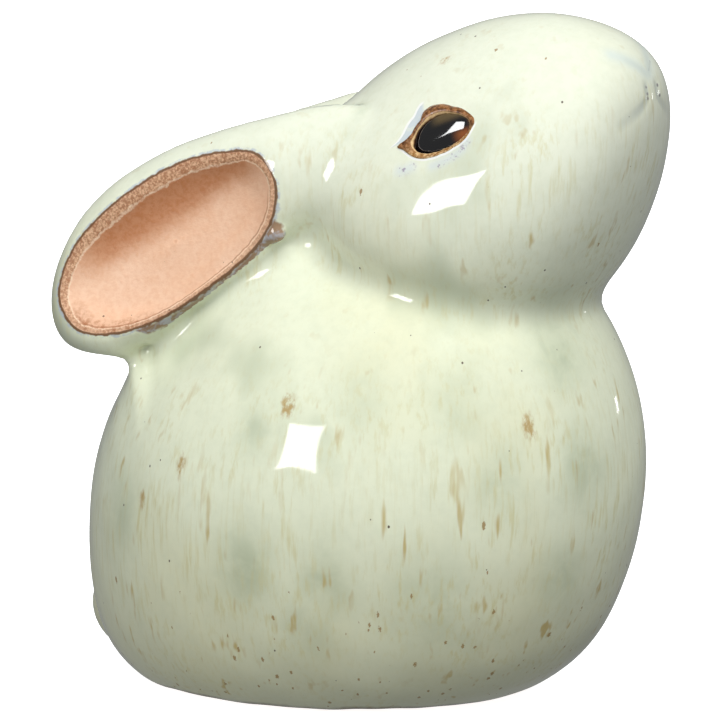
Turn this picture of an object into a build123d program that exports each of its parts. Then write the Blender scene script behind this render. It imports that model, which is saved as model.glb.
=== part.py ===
from build123d import *
import os
import math
import numpy as np

# Ceramic rabbit figurine, sitting, ears laid back, nose raised.
# Millimetres, +Z up, the rabbit faces +X, its right side is -Y.
# The shapes are set out in a working frame first and moved at the end so that
# the origin is under the middle of the figurine, on the surface it stands on.

# ------------------------------------------------------------ driving dimensions
GLAZE_T = 0.7            # thickness of the glaze coat
WALL_T = 4.6             # cast clay wall behind the glaze
FLOOR_T = 5.0            # clay floor above the base
FOOT_H = 1.5             # bare clay foot below the glaze line
FOOT_ROUND = 2.5         # rounding between the side and the base
BASE_Z = 2.8380          # height of the base in the working frame
VENT_R = 7.0             # firing vent in the base
VENT_X = 2.0             # where the vent is along the body

# body: an ellipsoid whose axis bends and whose girth swells with height
BODY_C = (1.4996, 48.5809)             # x, z of its centre
BODY_R = (60.1777, 50.3298, 51.8802)   # half length, half width, half height
BODY_BEND = (6.7728, 1.9592, 4.7550)   # how its centre line leans forward
BODY_GIRTH = (-0.0638, 0.1237, -0.1711, 0.2554)

# nape: fills the slope between the back of the head and the back
NAPE_C = (-13.4245, 87.3180)
NAPE_R = (31.9959, 27.9954, 16.7097)
NAPE_TILT = 0.6880                     # radians
NAPE_BLEND = 18.0                      # on the mid-plane, half of it at the sides

# head: an ellipsoid that narrows to the nose and the crown and arches at the brow
HEAD_C = (30.7332, 112.4660)
HEAD_R = (38.9157, 32.5266, 32.6965)
HEAD_TILT = 0.1788
HEAD_ARCH = (2.9957, 7.6155, 3.4365)
HEAD_DEPTH = (0.0912, -0.1317, -0.1182)
HEAD_WIDTH = (-0.0832, 0.1889)
HEAD_PEAR = 0.2116                     # how much wider the cheeks are than the crown
NECK_BLEND_FRONT = 6.0
NECK_BLEND_BACK = 22.0

# ear: a flattened leaf in its own frame (length, width, outward normal)
EAR_C = (-23.8515, -26.5485, 105.5054)
EAR_L = (-0.78219, -0.12081, -0.40069)   # slants outwards to the tip
EAR_W = (-0.39364, 0.27262, 0.87791)
EAR_N = (-0.20525, -0.95697, 0.20514)
EAR_R = (44.9438, 15.6801, 9.2874)      # half length, half width, half thickness
EAR_WIDEN = (0.3724, 0.0676, -0.0381)
EAR_SWAY = (-2.6920, -1.5246, -2.4728)
EAR_CURL = (-0.7345, -0.8999)
EAR_THIN = 0.3                          # thinner towards the root

# the opening of the ear: an egg outline, and the dish behind it
OPEN_S0, OPEN_A, OPEN_B = 8.039, 32.5, 13.70
OPEN_WIDEN = (0.081, 0.078, -0.036)
OPEN_T = (-3.202, -2.499, -0.971, 0.733)
OPEN_PLANE = (5.665, -0.047, 0.166)
DISH = ((8.0, 1.0), (0.0, 1.0), (-1.1, 0.97), (-2.2, 0.88),
        (-3.6, 0.70), (-4.8, 0.42), (-5.1, 0.12))   # depth, share of the outline
SLIP_T = 1.0             # thickness of the coloured slip that lines the dish

# tail: a ball against the back
TAIL_C = (-52.3, 0.0, 16.3)
TAIL_R = 11.0

# eye: an almond, long axis up towards the nose
EYE_C = (30.379, -27.519, 125.265)
EYE_REAR = (22.0, -28.6, 122.1)
EYE_FRONT = (37.8, -26.6, 128.0)
RIM_L, RIM_W = 19.0, 10.0
BALL_L, BALL_W = 14.0, 6.6
EYE_DEPTH = 2.4
RIM_PROUD = 0.5
BALL_PROUD = 1.0

N_ANG = 28               # points round each section


# ------------------------------------------------------------ shape functions
def ellipsoid(q, r):
    r = np.asarray(r)
    k0 = np.linalg.norm(q / r, axis=-1)
    k1 = np.linalg.norm(q / (r * r), axis=-1)
    return k0 * (k0 - 1) / np.maximum(k1, 1e-9)


def smooth_min(a, b, k):
    h = np.clip(0.5 + 0.5 * (b - a) / k, 0, 1)
    return b * (1 - h) + a * h - k * h * (1 - h)


def smooth_step(x, a, b):
    t = np.clip((x - a) / (b - a), 0, 1)
    return t * t * (3 - 2 * t)


def torso(p):
    """Signed distance to the body and head together, without the flat base."""
    x, y, z = p[..., 0], p[..., 1], p[..., 2]
    e = np.clip((z - BODY_C[1]) / BODY_R[2], -1.3, 1.3)
    xc = BODY_C[0] + sum(c * e ** (i + 1) for i, c in enumerate(BODY_BEND))
    m = np.maximum(1 + sum(c * e ** (i + 1) for i, c in enumerate(BODY_GIRTH)), 0.3)
    body = ellipsoid(np.stack([(x - xc) / m, y / m, z - BODY_C[1]], -1), BODY_R)
    ct, st = math.cos(NAPE_TILT), math.sin(NAPE_TILT)
    dx, dz = x - NAPE_C[0], z - NAPE_C[1]
    nape = ellipsoid(np.stack([dx * ct + dz * st, y, dz * ct - dx * st], -1), NAPE_R)
    body = smooth_min(body, nape, NAPE_BLEND * (1 - 0.5 * smooth_step(np.abs(y), 10, 26)))
    ct, st = math.cos(HEAD_TILT), math.sin(HEAD_TILT)
    dx, dz = x - HEAD_C[0], z - HEAD_C[1]
    hx, hz = dx * ct + dz * st, dz * ct - dx * st
    e = np.clip(hx / HEAD_R[0], -1.3, 1.3)
    zc = sum(c * e ** (i + 1) for i, c in enumerate(HEAD_ARCH))
    sz = np.maximum(1 + sum(c * e ** (i + 1) for i, c in enumerate(HEAD_DEPTH)), 0.3)
    sy = np.maximum(1 + sum(c * e ** (i + 1) for i, c in enumerate(HEAD_WIDTH)), 0.3)
    sy = sy * (1 - HEAD_PEAR * np.clip((hz - zc) / (HEAD_R[2] * sz), -1.2, 1.2))
    head = ellipsoid(np.stack([hx, y / sy, (hz - zc) / sz], -1), HEAD_R)
    back = smooth_step(-x, -6, 18) * (1 - 0.95 * smooth_step(np.abs(y), 8, 24))
    return smooth_min(body, head, NECK_BLEND_FRONT + (NECK_BLEND_BACK - NECK_BLEND_FRONT) * back)


def foot_inset(z):
    """How far the side stands in from the full girth near the base."""
    up = z - BASE_Z
    if up >= FOOT_ROUND:
        return 0.0
    lo, hi = -FOOT_ROUND, 0.0
    for _ in range(50):
        a = 0.5 * (lo + hi)
        v = -smooth_min(-a, up, FOOT_ROUND)
        lo, hi = (a, hi) if v < 0 else (lo, a)
    return 0.5 * (lo + hi)


def ring(pts):
    """A closed smooth curve through the points, evenly parametrised."""
    n = len(pts)
    return Wire([Edge.make_spline(pts, periodic=True, parameters=[i / n for i in range(n + 1)])])


def section(z, inset):
    """A closed horizontal section of the torso at height z, inset from the side."""
    level = foot_inset(z) - inset
    xs = np.linspace(-80, 80, 3201)
    inside = xs[torso(np.stack([xs, 0 * xs, 0 * xs + z], -1)) < level]
    cx = 0.5 * float(inside[0] + inside[-1])
    half = []
    for i in range(N_ANG // 2 + 1):
        a = 2 * math.pi * i / N_ANG
        lo, hi = 0.0, 90.0
        for _ in range(44):
            r = 0.5 * (lo + hi)
            v = torso(np.array([cx + r * math.cos(a), r * math.sin(a), z]))
            lo, hi = (r, hi) if v < level else (lo, r)
        half.append((cx + lo * math.cos(a), lo * math.sin(a)))
    pts = [(x, y, z) for x, y in half] + [(x, -y, z) for x, y in half[-2:0:-1]]
    return ring(pts)


def top_of(inset):
    """Height at which the inset torso closes, found on the mid-plane."""
    xs = np.linspace(10, 60, 1001)
    lo, hi = 120.0, 160.0
    for _ in range(40):
        z = 0.5 * (lo + hi)
        v = torso(np.stack([xs, 0 * xs, 0 * xs + z], -1)).min()
        lo, hi = (z, hi) if v < -inset else (lo, z)
    return lo


def torso_solid(inset, z_low):
    top = top_of(inset)
    zs = [z_low, 3.6, 5.2, 8, 14, 22, 32, 42, 52, 62, 70, 76, 80.5, 84, 86.5, 89,
          91.5, 94, 97, 101, 106, 112, 119, 126, 132]
    zs = [z for z in zs if z == z_low or z > z_low + 0.5]
    span = top - 132.0
    zs += [132.0 + span * f for f in (0.30, 0.55, 0.75, 0.88, 0.955, 0.99)]
    return Solid.make_loft([section(z, inset) for z in zs])


def ear_point(s, t, n):
    return tuple(EAR_C[i] + s * EAR_L[i] + t * EAR_W[i] + n * EAR_N[i] for i in range(3))


def ear_face(s, t):
    """Height of the ear's front face over its own middle plane."""
    f = s / EAR_R[0]
    w = 1 + sum(k * f ** (i + 1) for i, k in enumerate(EAR_WIDEN))
    tt = (t - sum(k * f ** (i + 1) for i, k in enumerate(EAR_SWAY))) / w
    nc = sum(k * f ** (i + 1) for i, k in enumerate(EAR_CURL))
    thick = EAR_R[2] * (1 - EAR_THIN * float(smooth_step(-f, 0.5, 1.0)))
    return nc + thick * math.sqrt(max(1 - f * f - (tt / EAR_R[1]) ** 2, 0.0))


def ear_solid(inset):
    a, b, c = (r - inset for r in EAR_R)
    wires = []
    for f in (-0.992, -0.96, -0.88, -0.74, -0.55, -0.33, -0.1, 0.14, 0.36, 0.56,
              0.74, 0.88, 0.96, 0.992):
        q = math.sqrt(1 - f * f)
        w = 1 + sum(k * f ** (i + 1) for i, k in enumerate(EAR_WIDEN))
        tc = sum(k * f ** (i + 1) for i, k in enumerate(EAR_SWAY))
        nc = sum(k * f ** (i + 1) for i, k in enumerate(EAR_CURL))
        d = c * q * (1 - EAR_THIN * float(smooth_step(-f, 0.5, 1.0)))
        pts = [ear_point(f * a, tc + b * w * q * math.cos(u), nc + d * math.sin(u))
               for u in (2 * math.pi * j / 16 for j in range(16))]
        wires.append(ring(pts))
    return Solid.make_loft(wires)


def open_point(k, u):
    """Place in the ear's frame at share k of the opening's outline, in direction u."""
    x = k * math.cos(u)
    w = 1 + sum(q * x ** (i + 1) for i, q in enumerate(OPEN_WIDEN))
    t = sum(q * x ** i for i, q in enumerate(OPEN_T)) + OPEN_B * k * math.sin(u) * w
    return OPEN_S0 + OPEN_A * x, t


def open_plane(s, t):
    return OPEN_PLANE[0] + OPEN_PLANE[1] * s + OPEN_PLANE[2] * t


def dish_solid(lift):
    """The space in front of the dish floor, lifted along the ear's normal.
    Near its edge the dish follows the ear's face."""
    wires = []
    for h, k in DISH:
        pts = []
        for j in range(20):
            u = 2 * math.pi * j / 20
            s, t = open_point(k, u)
            rim = open_point(1.0, u)
            edge = 0.0 if h > 0 else ear_face(*rim) - open_plane(*rim)
            n = open_plane(s, t) + edge * float(smooth_step(k, 0.68, 1.0)) + h + lift
            pts.append(ear_point(s, t, n))
        wires.append(ring(pts))
    return Solid.make_loft(wires, ruled=True)


def lens_prism(plane, length, width, low, high):
    """An almond-shaped bar standing on the given plane, from low to high."""
    up = ThreePointArc((-length / 2, 0), (0, width / 2), (length / 2, 0))
    dn = ThreePointArc((length / 2, 0), (0, -width / 2), (-length / 2, 0))
    face = Face(Wire([up, dn]))
    bar = Solid.extrude(face, Vector(0, 0, high - low)).moved(Location((0, 0, low)))
    return bar.moved(plane.location)


def biggest(shape):
    """The one solid of a result, without the crumbs a cut can leave."""
    solids = []
    for item in shape if isinstance(shape, (list, tuple)) else [shape]:
        solids += list(item.solids())
    return max(solids, key=lambda s: s.volume)


def cut(base, *tools):
    return biggest(base.cut(*tools))


def common(a, b):
    return biggest(a.intersect(b))


# ------------------------------------------------------------ build
outer = torso_solid(0.0, BASE_Z)
clay = torso_solid(GLAZE_T, BASE_Z)
cavity = torso_solid(GLAZE_T + WALL_T, BASE_Z + FLOOR_T)
raised = torso_solid(-RIM_PROUD, BASE_Z)

ear_outer = ear_solid(0.0)
ear_clay = ear_solid(GLAZE_T)
dish = dish_solid(0.0)
dish_front = dish_solid(SLIP_T)

tail_outer = Solid.make_sphere(TAIL_R).moved(Location(TAIL_C))
tail_clay = Solid.make_sphere(TAIL_R - GLAZE_T).moved(Location(TAIL_C))

h = 0.05
ec = np.array(EYE_C)
grad = np.array([torso(ec + h * d) - torso(ec - h * d) for d in np.eye(3)])
grad = grad / np.linalg.norm(grad)
axis = np.array(EYE_FRONT) - np.array(EYE_REAR)
axis = axis - grad * float(axis @ grad)
axis = axis / np.linalg.norm(axis)
eye_plane = Plane(origin=EYE_C, x_dir=tuple(axis), z_dir=tuple(grad))
pocket = lens_prism(eye_plane, RIM_L, RIM_W, -EYE_DEPTH, 6.0)
rim_bar = lens_prism(eye_plane, RIM_L, RIM_W, -EYE_DEPTH, 4.0)
ball_bar = lens_prism(eye_plane, BALL_L, BALL_W, -EYE_DEPTH, 4.0)
dome_r = (BALL_L ** 2 / 4 + 1.6 ** 2) / (2 * 1.6)
dome = Solid.make_sphere(dome_r).moved(
    Location(tuple(ec + grad * (BALL_PROUD - dome_r))))

nodes = {}

mirror_y = Plane.XZ
ear_clay_l = ear_clay.mirror(mirror_y)
pocket_l = pocket.mirror(mirror_y)

# hollow cast body with its vent
vent = Solid.make_cylinder(VENT_R, FLOOR_T + 4.0).moved(Location((VENT_X, 0, BASE_Z - 1.0)))
nodes["body_shell"] = cut(clay, cavity, vent, pocket, pocket_l)

# glaze coat over the body and head, cut back at the foot, eyes, ears and tail
slab = Solid.make_box(400, 400, FOOT_H + 20).moved(Location((-200, -200, BASE_Z - 20)))
coat = cut(outer, clay, slab)
nodes["body_glaze"] = cut(coat, ear_clay, ear_clay_l, tail_clay, pocket, pocket_l)

# right ear: clay, coat, lining and joint; the left ear is its mirror image
nodes["right_ear"] = cut(ear_clay, dish, outer)
nodes["right_ear_glaze"] = cut(ear_outer, ear_clay, dish, outer)
nodes["right_inner_ear"] = cut(common(cut(dish, dish_front), ear_clay), outer)
nodes["right_ear_lute"] = cut(common(ear_clay, outer), clay)

nodes["tail"] = cut(tail_clay, outer)
nodes["tail_glaze"] = cut(tail_outer, tail_clay, outer)
nodes["tail_lute"] = cut(common(tail_clay, outer), clay)

nodes["right_eye_rim"] = common(cut(rim_bar, ball_bar), raised)
nodes["right_eye"] = common(ball_bar, dome)

for name in [n for n in nodes if n.startswith("right_")]:
    nodes["left_" + name[6:]] = nodes[name].mirror(mirror_y)

lo = [min(tuple(s.bounding_box().min)[i] for s in nodes.values()) for i in range(3)]
hi = [max(tuple(s.bounding_box().max)[i] for s in nodes.values()) for i in range(3)]
shift = Location((-(lo[0] + hi[0]) / 2, -(lo[1] + hi[1]) / 2, -lo[2]))
print("working frame box", [round(v, 3) for v in lo], [round(v, 3) for v in hi])
print("shift", shift.position)

os.makedirs("parts", exist_ok=True)
for name, solid in nodes.items():
    solid = solid.moved(shift)
    solid.label = name
    export_step(solid, os.path.join("parts", name + ".step"))
    bb = solid.bounding_box()
    print(name, "valid", solid.is_valid, "volume", round(solid.volume, 2),
          "size", [round(v, 2) for v in (bb.size.X, bb.size.Y, bb.size.Z)])
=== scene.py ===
import math
import bpy
import numpy as np
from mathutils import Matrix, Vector


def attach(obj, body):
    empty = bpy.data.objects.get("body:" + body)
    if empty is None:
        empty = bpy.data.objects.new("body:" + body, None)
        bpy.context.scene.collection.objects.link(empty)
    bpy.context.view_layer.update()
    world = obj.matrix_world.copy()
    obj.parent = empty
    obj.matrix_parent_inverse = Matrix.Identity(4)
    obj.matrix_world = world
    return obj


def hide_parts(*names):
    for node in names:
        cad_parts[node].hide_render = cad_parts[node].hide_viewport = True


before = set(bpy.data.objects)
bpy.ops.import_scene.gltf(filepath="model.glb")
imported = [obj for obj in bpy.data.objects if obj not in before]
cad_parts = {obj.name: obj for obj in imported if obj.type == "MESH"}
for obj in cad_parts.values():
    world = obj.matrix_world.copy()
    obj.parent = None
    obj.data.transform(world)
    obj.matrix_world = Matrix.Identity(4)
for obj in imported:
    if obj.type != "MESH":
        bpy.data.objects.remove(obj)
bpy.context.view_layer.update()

# Ceramic rabbit figurine. The surface is worked out in millimetres in a working
# frame and moved into the row frame (metres) when the meshes are made.
SHIFT = np.array((-1.79829, 0.0, -2.8380))
BASE_Z = 2.8380


def row(p):
    return (np.asarray(p, float) + SHIFT) / 1000.0


# ------------------------------------------------------------------ shape
def ell(q, r):
    r = np.asarray(r, float)
    k0 = np.linalg.norm(q / r, axis=-1)
    k1 = np.linalg.norm(q / (r * r), axis=-1)
    return k0 * (k0 - 1) / np.maximum(k1, 1e-9)


def smin(a, b, k):
    h = np.clip(0.5 + 0.5 * (b - a) / k, 0, 1)
    return b * (1 - h) + a * h - k * h * (1 - h)


def smax(a, b, k):
    return -smin(-a, -b, k)


def step(x, a, b):
    t = np.clip((x - a) / (b - a), 0, 1)
    return t * t * (3 - 2 * t)


def poly(x, c):
    return sum(v * x ** (i + 1) for i, v in enumerate(c))


def body_part(p):
    x, y, z = p[..., 0], p[..., 1], p[..., 2]
    e = np.clip((z - 48.5809) / 51.8802, -1.3, 1.3)
    xc = 1.4996 + poly(e, (6.7728, 1.9592, 4.7550))
    m = np.maximum(1 + poly(e, (-0.0638, 0.1237, -0.1711, 0.2554)), 0.3)
    b = ell(np.stack([(x - xc) / m, y / m, z - 48.5809], -1), (60.1777, 50.3298, 51.8802))
    ct, st = math.cos(0.6880), math.sin(0.6880)
    dx, dz = x + 13.4245, z - 87.3180
    nape = ell(np.stack([dx * ct + dz * st, y, dz * ct - dx * st], -1),
               (31.9959, 27.9954, 16.7097))
    return smin(b, nape, 18.0 * (1 - 0.5 * step(np.abs(y), 10, 26)))


def head_part(p):
    x, y, z = p[..., 0], p[..., 1], p[..., 2]
    ct, st = math.cos(0.1788), math.sin(0.1788)
    dx, dz = x - 30.7332, z - 112.4660
    hx, hz = dx * ct + dz * st, dz * ct - dx * st
    e = np.clip(hx / 38.9157, -1.3, 1.3)
    zc = poly(e, (2.9957, 7.6155, 3.4365))
    sz = np.maximum(1 + poly(e, (0.0912, -0.1317, -0.1182)), 0.3)
    sy = np.maximum(1 + poly(e, (-0.0832, 0.1889)), 0.3)
    sy = sy * (1 - 0.2116 * np.clip((hz - zc) / (32.6965 * sz), -1.2, 1.2))
    return ell(np.stack([hx, y / sy, (hz - zc) / sz], -1), (38.9157, 32.5266, 32.6965))


def torso(p):
    k = 4.6 + 17.4 * step(-p[..., 0], -6, 18) * (1 - 0.95 * step(np.abs(p[..., 1]), 8, 24))
    return smin(body_part(p), head_part(p), k)


EAR_C = np.array((-23.8515, -26.5485, 105.5054))
EAR_AX = np.array(((-0.78219, -0.12081, -0.40069),
                   (-0.39364, 0.27262, 0.87791),
                   (-0.20525, -0.95697, 0.20514)))
EAR_INV = np.linalg.inv(EAR_AX)


def right_side(p):
    q = np.array(p, float, copy=True)
    q[..., 1] = -np.abs(q[..., 1])
    return q


def ear_stn(p):
    q = (right_side(p) - EAR_C) @ EAR_INV
    return q[..., 0], q[..., 1], q[..., 2]


def ear_part(p):
    s, t, n = ear_stn(p)
    e = np.clip(s / 44.9438, -1.3, 1.3)
    w = 1 + poly(e, (0.3724, 0.0676, -0.0381))
    tt = (t - poly(e, (-2.6920, -1.5246, -2.4728))) / w
    nn = (n - poly(e, (-0.7345, -0.8999))) / (1 - 0.3 * step(-e, 0.5, 1.0))
    return ell(np.stack([s, tt, nn], -1), (44.9438, 15.6801, 9.2874))


# outline of the ear opening, as shares of its half length and half width
OPEN_LINE = np.array(((-0.877, 0.544), (-0.954, 0.366), (-0.997, 0.128), (-0.998, -0.054),
                      (-0.95, -0.282), (-0.882, -0.468), (-0.812, -0.59), (-0.674, -0.746),
                      (-0.454, -0.893), (-0.207, -0.979), (0.007, -1.01), (0.204, -0.999),
                      (0.37, -0.955), (0.531, -0.865), (0.68, -0.743), (0.825, -0.57),
                      (0.896, -0.446), (0.967, -0.139), (0.988, 0.101), (0.972, 0.237),
                      (0.916, 0.39), (0.79, 0.615), (0.641, 0.75), (0.459, 0.85),
                      (0.262, 0.92), (0.078, 0.967), (-0.132, 0.972), (-0.331, 0.94),
                      (-0.527, 0.83), (-0.714, 0.685)))


def radial(line, about, soft):
    """A smooth radius against angle through the points."""
    d = line - np.asarray(about)
    a = np.arctan2(d[:, 1], d[:, 0])
    r = np.linalg.norm(d, axis=1)
    i = np.argsort(a)
    a, r = a[i], r[i]
    aa = np.concatenate([a - 2 * math.pi, a, a + 2 * math.pi])
    rr = np.tile(r, 3)
    g = np.linspace(-math.pi, math.pi, 721)[:-1]
    f = np.interp(g, aa, rr)
    m = int(3 * soft)
    ker = np.exp(-(np.arange(-m, m + 1) / soft) ** 2)
    ker /= ker.sum()
    f = np.convolve(np.concatenate([f[-m:], f, f[:m]]), ker, "valid")
    g, f = np.append(g, math.pi), np.append(f, f[0])
    return lambda th: np.interp(np.mod(th + math.pi, 2 * math.pi) - math.pi, g, f)


open_r = radial(OPEN_LINE, (0, 0), 12.0)


def ear_front(s, t):
    """Height of the ear's front face over its own middle plane."""
    e = np.clip(s / 44.9438, -1.3, 1.3)
    w = 1 + poly(e, (0.3724, 0.0676, -0.0381))
    tt = (t - poly(e, (-2.6920, -1.5246, -2.4728))) / w
    return (poly(e, (-0.7345, -0.8999))
            + 9.2874 * (1 - 0.3 * step(-e, 0.5, 1.0))
            * np.sqrt(np.maximum(1 - e * e - (tt / 15.6801) ** 2, 0)))


def open_axis(x):
    """Middle and half width of the opening at a place along it."""
    x = np.clip(x, -1.25, 1.25)
    return (-3.202 + poly(x, (-2.499, -0.971, 0.733)),
            13.410 * (1 + poly(x, (0.081, 0.078, -0.036))))


def opening(p):
    """Ear opening: k is 1 on its edge and 0 in its middle, side is the sine of the angle,
    and n is the height over the plane of the opening."""
    s, t, n = ear_stn(p)
    x = (s - 8.039) / 32.135
    tc, w = open_axis(x)
    y = (t - tc) / w
    r = np.sqrt(x * x + y * y + 1e-9)
    k = r / open_r(np.arctan2(y, x))
    return k, y / r, n - (5.665 - 0.047 * s + 0.166 * t)


def bevel_mm(side):
    """Width of the bevel inside the edge of the opening, in mm."""
    return 1.9 + 0.9 * side


def dish_depth(k, side):
    """Depth of the bowl under its edge: a bevel, a crease, then a hollow."""
    kc = 1 - bevel_mm(side) * np.sqrt((1 - side ** 2) / 32.135 ** 2 + side ** 2 / 13.41 ** 2)
    bevel = -0.26 * bevel_mm(side) * np.clip((1 - k) / (1 - kc), 0, 1)
    v = np.clip(k / kc, 0, 1)
    return bevel + np.where(k < kc, -3.4 * (1 - v ** 3.2), 0.0)


def dish_part(p):
    """Above zero in the air of the bowl."""
    s, t, n = ear_stn(p)
    k, side, over = opening(p)
    x = (s - 8.039) / 32.135
    y = (t - open_axis(x)[0]) / open_axis(x)[1]
    # height of the ear's face at the edge in the same direction
    xr, yr = x / k, y / k
    tc, w = open_axis(xr)
    sr, tr = 8.039 + 32.135 * xr, tc + w * yr
    edge = ear_front(sr, tr) - (5.665 - 0.047 * sr + 0.166 * tr)
    inside = over - edge * step(k, 0.68, 1.0) - dish_depth(k, side)
    return smin(inside * 0.8, 12.0 * (1 - k) + 0.25, 0.5)


def ear_root(p):
    return ell(right_side(p) - np.array((3.0, -13.0, 113.5)), (20.0, 11.5, 11.5))


LUMP = np.array((-6.3, -29.4, 102.3))


def lip_lump(p):
    """A run of glaze that has set at the inner end of the lower lip."""
    return ell(right_side(p) - LUMP, (2.3, 1.2, 1.6))


def tail_part(p):
    return ell(p - np.array((-52.3, 0.0, 16.3)), (11.0, 11.4, 10.7))


RIDGE = np.array(((-25.0, 22.8, 119.7), (-11.0, 21.2, 124.6)))


def left_ridge(p):
    """The back of the left ear, which stands a little higher than that of the right one."""
    d = RIDGE[1] - RIDGE[0]
    t = np.clip(((p - RIDGE[0]) @ d) / (d @ d), 0, 1)
    return np.linalg.norm(p - RIDGE[0] - t[..., None] * d, axis=-1) - 1.8


# face: grooves of the nose and mouth, mirrored about a line a little to the right
FACE_Y = -1.8
NOSTRIL = np.array(((60.6, -8.9, 140.6), (62.1, -7.3, 139.8), (63.6, -5.5, 138.7),
                    (64.8, -3.9, 137.5), (65.5, -2.4, 136.4)))
MOUTH = np.array(((65.8, -3.6, 135.0), (66.1, -4.2, 133.8), (66.4, -4.2, 132.5),
                  (66.5, -4.4, 131.2), (66.4, -5.9, 130.1), (66.1, -8.0, 129.0),
                  (65.4, -10.6, 127.9), (64.6, -13.2, 126.7)))


def along(p, line):
    """Distance to a polyline, and how far along it (0 to 1)."""
    best = np.full(p.shape[:-1], 1e9)
    where = np.zeros(p.shape[:-1])
    n = len(line) - 1
    for i in range(n):
        a, d = line[i], line[i + 1] - line[i]
        t = np.clip(((p - a) @ d) / (d @ d), 0, 1)
        r = np.linalg.norm(p - a - t[..., None] * d, axis=-1)
        hit = r < best
        best = np.where(hit, r, best)
        where = np.where(hit, (i + t) / n, where)
    return best, where


def face_fold(p):
    q = np.array(p, float, copy=True)
    q[..., 1] = FACE_Y - np.abs(q[..., 1] - FACE_Y)
    return q


def grooves(p):
    """Depth of the face grooves, in mm."""
    out = np.zeros(p.shape[:-1])
    near = p[..., 0] > 52
    if not near.any():
        return out
    q = face_fold(p[near])
    d, w = along(q, NOSTRIL)
    g = 0.10 * np.exp(-(d / 1.9) ** 2) * step(w, -0.1, 0.45)
    d, w = along(q, MOUTH)
    wide = 1.1 + 1.1 * step(w, 0.40, 1.0)
    g = np.maximum(g, 0.20 * np.exp(-(d / wide) ** 2) * step(w, -0.12, 0.2) * (1 - 0.4 * step(w, 0.5, 1.0)))
    out[near] = g
    return out


EYE_C = np.array((30.379, -27.519, 125.265))
EYE_N = np.array((-0.0724, -0.8699, 0.4879))
EYE_A = np.array((0.9306, 0.1170, 0.3468))
EYE_B = np.array((-0.3588, 0.4791, 0.8011))
RIM_LINE = np.array(((-10.5, 0.22), (-9.2, 0.42), (-7.9, 0.66), (-6.34, 1.73), (-3.97, 4.16), (-3.09, 6.01), (-1.41, 6.65),
                     (0.84, 6.28), (3.49, 4.63), (6.67, 2.0), (7.72, 0.35), (7.6, -0.82),
                     (6.88, -1.63), (6.15, -2.51), (5.5, -3.23), (4.07, -4.09), (2.14, -4.59),
                     (-0.73, -5.0), (-3.17, -5.0), (-4.85, -4.68), (-6.41, -3.83),
                     (-7.74, -2.45), (-8.67, -1.13)))
BALL_LINE = np.array(((-6.38, -1.25), (-5.65, 0.44), (-3.56, 2.43), (-1.19, 3.15), (0.72, 3.33),
                      (3.26, 2.58), (5.35, 1.44), (6.4, 0.36), (6.44, -0.8), (5.72, -2.09),
                      (4.32, -2.77), (2.36, -3.43), (0.08, -3.7), (-2.2, -3.74),
                      (-4.38, -3.25), (-5.8, -2.43)))
EYE_O = np.array((-0.4, -0.3))


rim_r = radial(RIM_LINE, EYE_O, 5.0)
ball_r = radial(BALL_LINE, EYE_O, 5.0)


def eye_uv(p):
    q = right_side(p) - EYE_C
    return q @ EYE_A, q @ EYE_B, q @ EYE_N


def eye_ratio(p):
    """1 on the outline of the eye rim, below 1 inside it, large away from the eye."""
    u, v, w = eye_uv(p)
    du, dv = u - EYE_O[0], v - EYE_O[1]
    r = np.hypot(du, dv)
    k = r / rim_r(np.arctan2(dv, du))
    return np.where(np.abs(w) < 6, k, 9.0)


def wobble(p):
    """The unevenness of a hand-finished surface, in mm."""
    x, y, z = p[..., 0], p[..., 1], p[..., 2]
    return (0.10 * np.sin(0.171 * x + 0.6) * np.sin(0.149 * y + 1.9) * np.sin(0.163 * z + 0.4)
            + 0.05 * np.sin(0.37 * x + 0.21 * z + 1.0) * np.sin(0.33 * y - 0.17 * z + 2.2))


def smooth_form(p):
    """Body, head, ears and tail, before the ear bowls, the grooves and the flat base."""
    f = smin(torso(p), ear_root(p), 7.0)
    s, t, n = ear_stn(p)
    k = (2.2 + 3.0 * step(p[..., 0], -20, -4) * step(np.abs(p[..., 1]), 17, 24)
         + (7.0 * step(s, 8, 26) + 5.0 * step(s, 25, 33)) * step(-t, 0, 10) + 2.0 * step(-t, 4, 12))
    f = smin(f, ear_part(p), k)
    f = smin(f, left_ridge(p), 4.5)
    f = smin(f, lip_lump(p), 1.8)
    return smin(f, tail_part(p), 2.5)


def form(p):
    f = smooth_form(p) + wobble(p)
    f = f + grooves(p)
    d = dish_part(p)
    f = np.where(d > -4, smax(f, d, 0.9), f)
    return smax(f, BASE_Z - p[..., 2], 2.5)


# ------------------------------------------------------------------ meshing
def values(f, p, size=200000):
    p = np.asarray(p, float)
    flat = p.reshape(-1, 3)
    out = np.concatenate([f(flat[i:i + size]) for i in range(0, len(flat), size)])
    return out.reshape(p.shape[:-1])


def gradient(f, p, h=0.04):
    g = np.empty(p.shape)
    for i in range(3):
        d = np.zeros(3)
        d[i] = h
        g[..., i] = (f(p + d) - f(p - d)) / (2 * h)
    return g


def unit(v):
    return v / np.maximum(np.linalg.norm(v, axis=-1, keepdims=True), 1e-12)


def settle(f, p, rounds=3, limit=1.0):
    """Moves the points onto f = 0."""
    for _ in range(rounds):
        v = f(p)
        g = gradient(f, p)
        s = v / np.maximum((g * g).sum(-1), 0.05)
        p = p - np.clip(s, -limit, limit)[:, None] * g
    return p


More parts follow.
